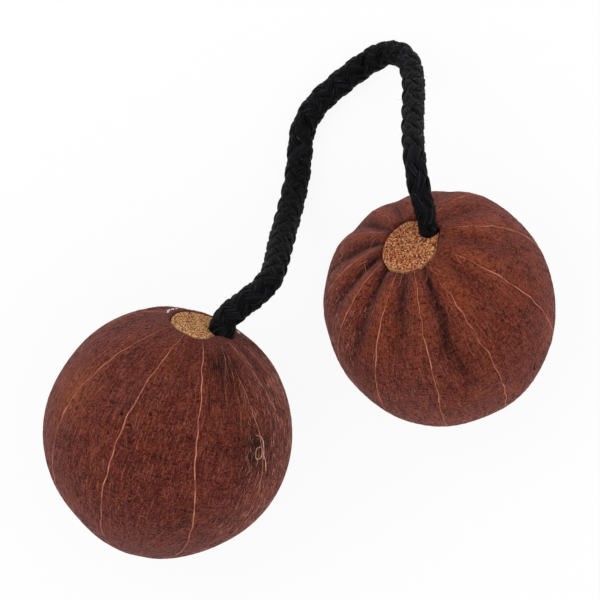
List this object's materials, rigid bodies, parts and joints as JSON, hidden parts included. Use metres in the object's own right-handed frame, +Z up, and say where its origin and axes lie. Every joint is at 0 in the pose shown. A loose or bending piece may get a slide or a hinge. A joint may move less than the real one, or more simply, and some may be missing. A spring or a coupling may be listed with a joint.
{
  "type": "ball shaker",
  "caption": "Double ball shaker: hollow dried fruit shells with loose seeds, plugged with cork and joined by a short braided cord.",
  "frame": {"origin": "on the surface that the balls stand on, at the middle of the box round the two balls", "axes": "+X along the row from the larger ball to the smaller one, +Y towards the cord's loop, +Z up"},
  "size_m": [0.1301, 0.0952, 0.0599],
  "materials": {
    "shell_left": "dried fruit shell, dark red brown, satin, with pale raised veins",
    "shell_right": "dried fruit shell, red brown, satin, with pale raised veins and dark furrows",
    "cork": "pressed cork grains, matte",
    "cord": "black braided cord, matte",
    "seed": "dry brown seed, satin"
  },
  "bodies": {
    "left_ball": {"left_shell": "shell_left", "left_cork": "cork", "left_stopper_knot": "cord"},
    "cord_left": {"cord_left": "cord"},
    "cord_right": {"cord_right": "cord"},
    "right_ball": {"right_shell": "shell_right", "right_cork": "cork", "right_stopper_knot": "cord"},
    "seed_left_01": {"seed_left_01": "seed"},
    "seed_left_02": {"seed_left_02": "seed"},
    "seed_left_03": {"seed_left_03": "seed"},
    "seed_left_04": {"seed_left_04": "seed"},
    "seed_left_05": {"seed_left_05": "seed"},
    "seed_left_06": {"seed_left_06": "seed"},
    "seed_left_07": {"seed_left_07": "seed"},
    "seed_left_08": {"seed_left_08": "seed"},
    "seed_left_09": {"seed_left_09": "seed"},
    "seed_left_10": {"seed_left_10": "seed"},
    "seed_left_11": {"seed_left_11": "seed"},
    "seed_right_01": {"seed_right_01": "seed"},
    "seed_right_02": {"seed_right_02": "seed"},
    "seed_right_03": {"seed_right_03": "seed"},
    "seed_right_04": {"seed_right_04": "seed"},
    "seed_right_05": {"seed_right_05": "seed"},
    "seed_right_06": {"seed_right_06": "seed"},
    "seed_right_07": {"seed_right_07": "seed"},
    "seed_right_08": {"seed_right_08": "seed"},
    "seed_right_09": {"seed_right_09": "seed"},
    "seed_right_10": {"seed_right_10": "seed"}
  },
  "joints": [
    {"name": "cord_swing", "type": "hinge", "parent": "left_ball", "child": "cord_left", "pos_m": [-0.01104, 0.01878, 0.0414], "axis": [0, 0, 1], "range_deg": [-32, 90]},
    {"name": "cord_bend", "type": "hinge", "parent": "cord_left", "child": "cord_right", "pos_m": [0.0322, 0.0586, 0.003], "axis": [0, 0, 1], "range_deg": [0, 60]},
    {"name": "ball_spin", "type": "hinge", "parent": "cord_right", "child": "right_ball", "pos_m": [0.0369, 0, 0.0282], "axis": [0.1568, 0.6496, 0.744], "range_deg": [-180, 180]},
    {"name": "seed_left_01_hop", "type": "slide", "parent": "left_ball", "child": "seed_left_01", "axis": [0, 0, 1], "range_m": [0, 0.018]},
    {"name": "seed_left_02_hop", "type": "slide", "parent": "left_ball", "child": "seed_left_02", "axis": [0, 0, 1], "range_m": [0, 0.023]},
    {"name": "seed_left_03_hop", "type": "slide", "parent": "left_ball", "child": "seed_left_03", "axis": [0, 0, 1], "range_m": [0, 0.018]},
    {"name": "seed_left_04_hop", "type": "slide", "parent": "left_ball", "child": "seed_left_04", "axis": [0, 0, 1], "range_m": [0, 0.018]},
    {"name": "seed_left_05_hop", "type": "slide", "parent": "left_ball", "child": "seed_left_05", "axis": [0, 0, 1], "range_m": [0, 0.047]},
    {"name": "seed_left_06_hop", "type": "slide", "parent": "left_ball", "child": "seed_left_06", "axis": [0, 0, 1], "range_m": [0, 0.019]},
    {"name": "seed_left_07_hop", "type": "slide", "parent": "left_ball", "child": "seed_left_07", "axis": [0, 0, 1], "range_m": [0, 0.044]},
    {"name": "seed_left_08_hop", "type": "slide", "parent": "left_ball", "child": "seed_left_08", "axis": [0, 0, 1], "range_m": [0, 0.043]},
    {"name": "seed_left_09_hop", "type": "slide", "parent": "left_ball", "child": "seed_left_09", "axis": [0, 0, 1], "range_m": [0, 0.016]},
    {"name": "seed_left_10_hop", "type": "slide", "parent": "left_ball", "child": "seed_left_10", "axis": [0, 0, 1], "range_m": [0, 0.042]},
    {"name": "seed_left_11_hop", "type": "slide", "parent": "left_ball", "child": "seed_left_11", "axis": [0, 0, 1], "range_m": [0, 0.041]},
    {"name": "seed_right_01_hop", "type": "slide", "parent": "right_ball", "child": "seed_right_01", "axis": [0, 0, 1], "range_m": [0, 0.013]},
    {"name": "seed_right_02_hop", "type": "slide", "parent": "right_ball", "child": "seed_right_02", "axis": [0, 0, 1], "range_m": [0, 0.016]},
    {"name": "seed_right_03_hop", "type": "slide", "parent": "right_ball", "child": "seed_right_03", "axis": [0, 0, 1], "range_m": [0, 0.023]},
    {"name": "seed_right_04_hop", "type": "slide", "parent": "right_ball", "child": "seed_right_04", "axis": [0, 0, 1], "range_m": [0, 0.016]},
    {"name": "seed_right_05_hop", "type": "slide", "parent": "right_ball", "child": "seed_right_05", "axis": [0, 0, 1], "range_m": [0, 0.043]},
    {"name": "seed_right_06_hop", "type": "slide", "parent": "right_ball", "child": "seed_right_06", "axis": [0, 0, 1], "range_m": [0, 0.022]},
    {"name": "seed_right_07_hop", "type": "slide", "parent": "right_ball", "child": "seed_right_07", "axis": [0, 0, 1], "range_m": [0, 0.02]},
    {"name": "seed_right_08_hop", "type": "slide", "parent": "right_ball", "child": "seed_right_08", "axis": [0, 0, 1], "range_m": [0, 0.039]},
    {"name": "seed_right_09_hop", "type": "slide", "parent": "right_ball", "child": "seed_right_09", "axis": [0, 0, 1], "range_m": [0, 0.016]},
    {"name": "seed_right_10_hop", "type": "slide", "parent": "right_ball", "child": "seed_right_10", "axis": [0, 0, 1], "range_m": [0, 0.037]}
  ]
}
